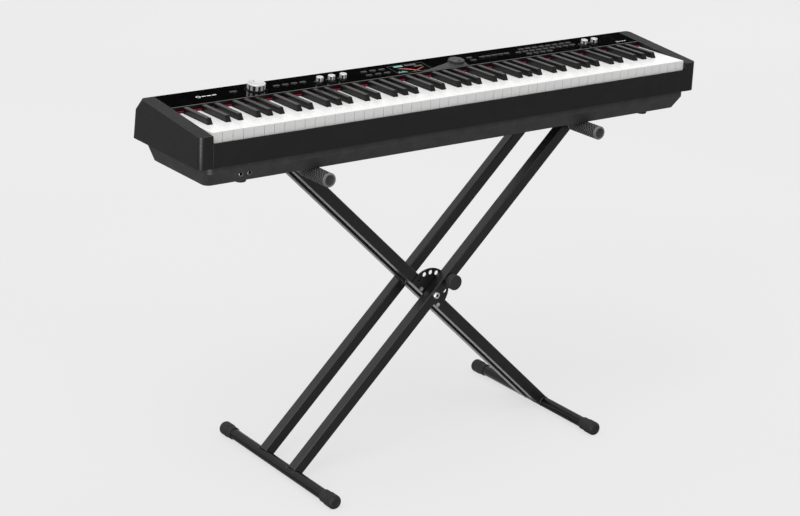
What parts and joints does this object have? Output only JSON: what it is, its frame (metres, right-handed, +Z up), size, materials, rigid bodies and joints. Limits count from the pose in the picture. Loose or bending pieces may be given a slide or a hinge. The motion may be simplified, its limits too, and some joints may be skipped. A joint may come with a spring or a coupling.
{
  "type": "digital piano on stand",
  "caption": "Full-size digital piano with weighted keys and a sloping control panel, on a double-braced X stand that folds at its pivot.",
  "frame": {"origin": "on the floor, in the middle under the stand's pivot bolt", "axes": "+X along the keyboard from bass to treble, -Y towards the player, +Z up"},
  "size_m": [1.285, 0.448, 0.8577],
  "materials": {
    "black_powder_coat": "satin",
    "black_rubber": "matte",
    "zinc_steel": "satin",
    "knob_plastic": "matte",
    "case_plastic": "matte",
    "tray_plastic": "matte",
    "panel_gloss": "gloss",
    "trim_plastic": "satin",
    "display_glass": "gloss",
    "red_felt": "matte",
    "chassis_steel": "satin",
    "circuit_board": "satin",
    "speaker_black": "matte",
    "socket_metal": "satin",
    "silver_knob": "satin",
    "wheel_plastic": "satin",
    "button_plastic": "satin",
    "black_keys": "satin",
    "white_keys": "gloss"
  },
  "bodies": {
    "outer_feet": {"outer_foot_caps": "black_rubber"},
    "outer_frame": {"outer_foot_bar": "black_powder_coat", "outer_front_leg": "black_powder_coat", "outer_rear_leg": "black_powder_coat", "outer_support_arm": "black_powder_coat", "outer_arm_grips": "black_rubber", "pivot_bolt": "zinc_steel", "plunger_housing": "black_powder_coat", "plunger_spring": "zinc_steel"},
    "plunger": {"plunger_knob": "knob_plastic"},
    "inner_frame": {"inner_foot_bar": "black_powder_coat", "inner_front_leg": "black_powder_coat", "inner_rear_leg": "black_powder_coat", "inner_support_arm": "black_powder_coat", "inner_arm_grips": "black_rubber", "locking_disc": "black_powder_coat", "disc_rivets": "zinc_steel"},
    "inner_feet": {"inner_foot_caps": "black_rubber"},
    "piano_case": {"bottom_case": "tray_plastic", "left_end_block": "case_plastic", "right_end_block": "case_plastic", "front_rail": "case_plastic", "rear_panel": "case_plastic", "control_panel": "panel_gloss", "panel_trim": "trim_plastic", "display_window": "display_glass", "red_felt": "red_felt", "key_chassis": "chassis_steel", "fulcrum_rod": "zinc_steel", "key_springs": "zinc_steel", "key_contacts": "circuit_board", "main_board": "circuit_board", "panel_board": "circuit_board", "speakers": "speaker_black", "rubber_feet": "black_rubber", "case_screws": "zinc_steel", "sockets": "socket_metal"},
    "volume_knob": {"volume_knob": "silver_knob"},
    "data_wheel": {"data_wheel": "wheel_plastic"},
    "tone_knob_1": {"tone_knob_1": "silver_knob"},
    "tone_knob_2": {"tone_knob_2": "silver_knob"},
    "tone_knob_3": {"tone_knob_3": "silver_knob"},
    "level_knob_1": {"level_knob_1": "silver_knob"},
    "level_knob_2": {"level_knob_2": "silver_knob"},
    "power_button": {"power_button": "button_plastic"},
    "preset_buttons": {"preset_buttons": "button_plastic"},
    "rhythm_buttons": {"rhythm_buttons": "button_plastic"},
    "voice_buttons": {"voice_buttons": "button_plastic"},
    "keys_a": {"keys_a": "white_keys"},
    "keys_b": {"keys_b": "white_keys"},
    "keys_c": {"keys_c": "white_keys"},
    "keys_d": {"keys_d": "white_keys"},
    "keys_e": {"keys_e": "white_keys"},
    "keys_f": {"keys_f": "white_keys"},
    "keys_g": {"keys_g": "white_keys"},
    "keys_a_sharp": {"keys_a_sharp": "black_keys"},
    "keys_c_sharp": {"keys_c_sharp": "black_keys"},
    "keys_d_sharp": {"keys_d_sharp": "black_keys"},
    "keys_f_sharp": {"keys_f_sharp": "black_keys"},
    "keys_g_sharp": {"keys_g_sharp": "black_keys"}
  },
  "joints": [
    {"name": "stand_fold", "type": "hinge", "parent": "outer_feet", "child": "outer_frame", "pos_m": [-0.3555, 0, 0.0145], "axis": [0, -1, 0], "range_deg": [0, 43]},
    {"name": "stand_pivot", "type": "hinge", "parent": "outer_frame", "child": "inner_frame", "pos_m": [0, 0, 0.3578], "axis": [0, -1, 0], "range_deg": [-86, 0]},
    {"name": "inner_feet_turn", "type": "hinge", "parent": "inner_frame", "child": "inner_feet", "pos_m": [0.3555, 0, 0.0145], "axis": [0, -1, 0], "range_deg": [0, 43]},
    {"name": "piano_lift", "type": "slide", "parent": "outer_feet", "child": "piano_case", "axis": [0, 0, 1], "range_m": [0, 0.5324]},
    {"name": "plunger_pin", "type": "slide", "parent": "outer_frame", "child": "plunger", "axis": [0, 1, 0], "range_m": [0, 0.0039]},
    {"name": "volume_knob_turn", "type": "hinge", "parent": "piano_case", "child": "volume_knob", "pos_m": [-0.397, 0.04302, 0.84099], "axis": [0, -0.0999, 0.995], "range_deg": [-150, 150]},
    {"name": "data_wheel_turn", "type": "hinge", "parent": "piano_case", "child": "data_wheel", "pos_m": [0.112, 0.04203, 0.84089], "axis": [0, -0.0999, 0.995], "continuous": true},
    {"name": "tone_knob_1_turn", "type": "hinge", "parent": "piano_case", "child": "tone_knob_1", "pos_m": [-0.252, 0.02909, 0.83959], "axis": [0, -0.0999, 0.995], "range_deg": [-150, 150]},
    {"name": "tone_knob_2_turn", "type": "hinge", "parent": "piano_case", "child": "tone_knob_2", "pos_m": [-0.223, 0.02909, 0.83959], "axis": [0, -0.0999, 0.995], "range_deg": [-150, 150]},
    {"name": "tone_knob_3_turn", "type": "hinge", "parent": "piano_case", "child": "tone_knob_3", "pos_m": [-0.194, 0.02909, 0.83959], "axis": [0, -0.0999, 0.995], "range_deg": [-150, 150]},
    {"name": "level_knob_1_turn", "type": "hinge", "parent": "piano_case", "child": "level_knob_1", "pos_m": [0.464, 0.02909, 0.83959], "axis": [0, -0.0999, 0.995], "range_deg": [-150, 150]},
    {"name": "level_knob_2_turn", "type": "hinge", "parent": "piano_case", "child": "level_knob_2", "pos_m": [0.493, 0.02909, 0.83959], "axis": [0, -0.0999, 0.995], "range_deg": [-150, 150]},
    {"name": "power_button_press", "type": "slide", "parent": "piano_case", "child": "power_button", "axis": [0, 0.0999, -0.995], "range_m": [0, 0.001], "stiffness_N_per_m": 400, "springref_m": -0.002},
    {"name": "preset_buttons_press", "type": "slide", "parent": "piano_case", "child": "preset_buttons", "axis": [0, 0.0999, -0.995], "range_m": [0, 0.001], "stiffness_N_per_m": 1600, "springref_m": -0.002},
    {"name": "rhythm_buttons_press", "type": "slide", "parent": "piano_case", "child": "rhythm_buttons", "axis": [0, 0.0999, -0.995], "range_m": [0, 0.001], "stiffness_N_per_m": 2400, "springref_m": -0.002},
    {"name": "voice_buttons_press", "type": "slide", "parent": "piano_case", "child": "voice_buttons", "axis": [0, 0.0999, -0.995], "range_m": [0, 0.001], "stiffness_N_per_m": 11200, "springref_m": -0.002},
    {"name": "keys_a_press", "type": "hinge", "parent": "piano_case", "child": "keys_a", "pos_m": [0, 0.085, 0.811], "axis": [1, 0, 0], "range_deg": [0, 2.5], "stiffness_Nm_per_rad": 2.4, "springref_deg": -28.65},
    {"name": "keys_b_press", "type": "hinge", "parent": "piano_case", "child": "keys_b", "pos_m": [0, 0.085, 0.811], "axis": [1, 0, 0], "range_deg": [0, 2.5], "stiffness_Nm_per_rad": 2.4, "springref_deg": -28.65},
    {"name": "keys_c_press", "type": "hinge", "parent": "piano_case", "child": "keys_c", "pos_m": [0, 0.085, 0.811], "axis": [1, 0, 0], "range_deg": [0, 2.5], "stiffness_Nm_per_rad": 2.4, "springref_deg": -28.65},
    {"name": "keys_d_press", "type": "hinge", "parent": "piano_case", "child": "keys_d", "pos_m": [0, 0.085, 0.811], "axis": [1, 0, 0], "range_deg": [0, 2.5], "stiffness_Nm_per_rad": 2.1, "springref_deg": -28.65},
    {"name": "keys_e_press", "type": "hinge", "parent": "piano_case", "child": "keys_e", "pos_m": [0, 0.085, 0.811], "axis": [1, 0, 0], "range_deg": [0, 2.5], "stiffness_Nm_per_rad": 2.1, "springref_deg": -28.65},
    {"name": "keys_f_press", "type": "hinge", "parent": "piano_case", "child": "keys_f", "pos_m": [0, 0.085, 0.811], "axis": [1, 0, 0], "range_deg": [0, 2.5], "stiffness_Nm_per_rad": 2.1, "springref_deg": -28.65},
    {"name": "keys_g_press", "type": "hinge", "parent": "piano_case", "child": "keys_g", "pos_m": [0, 0.085, 0.811], "axis": [1, 0, 0], "range_deg": [0, 2.5], "stiffness_Nm_per_rad": 2.1, "springref_deg": -28.65},
    {"name": "keys_a_sharp_press", "type": "hinge", "parent": "piano_case", "child": "keys_a_sharp", "pos_m": [0, 0.085, 0.811], "axis": [1, 0, 0], "range_deg": [0, 2.5], "stiffness_Nm_per_rad": 2.4, "springref_deg": -28.65},
    {"name": "keys_c_sharp_press", "type": "hinge", "parent": "piano_case", "child": "keys_c_sharp", "pos_m": [0, 0.085, 0.811], "axis": [1, 0, 0], "range_deg": [0, 2.5], "stiffness_Nm_per_rad": 2.1, "springref_deg": -28.65},
    {"name": "keys_d_sharp_press", "type": "hinge", "parent": "piano_case", "child": "keys_d_sharp", "pos_m": [0, 0.085, 0.811], "axis": [1, 0, 0], "range_deg": [0, 2.5], "stiffness_Nm_per_rad": 2.1, "springref_deg": -28.65},
    {"name": "keys_f_sharp_press", "type": "hinge", "parent": "piano_case", "child": "keys_f_sharp", "pos_m": [0, 0.085, 0.811], "axis": [1, 0, 0], "range_deg": [0, 2.5], "stiffness_Nm_per_rad": 2.1, "springref_deg": -28.65},
    {"name": "keys_g_sharp_press", "type": "hinge", "parent": "piano_case", "child": "keys_g_sharp", "pos_m": [0, 0.085, 0.811], "axis": [1, 0, 0], "range_deg": [0, 2.5], "stiffness_Nm_per_rad": 2.1, "springref_deg": -28.65}
  ],
  "couplings": [
    {"joint": "stand_pivot", "follows": "stand_fold", "ratio": -2},
    {"joint": "inner_feet_turn", "follows": "stand_fold", "ratio": 1},
    {"joint": "piano_lift", "follows": "stand_fold", "m_per_rad": 0.70905}
  ]
}
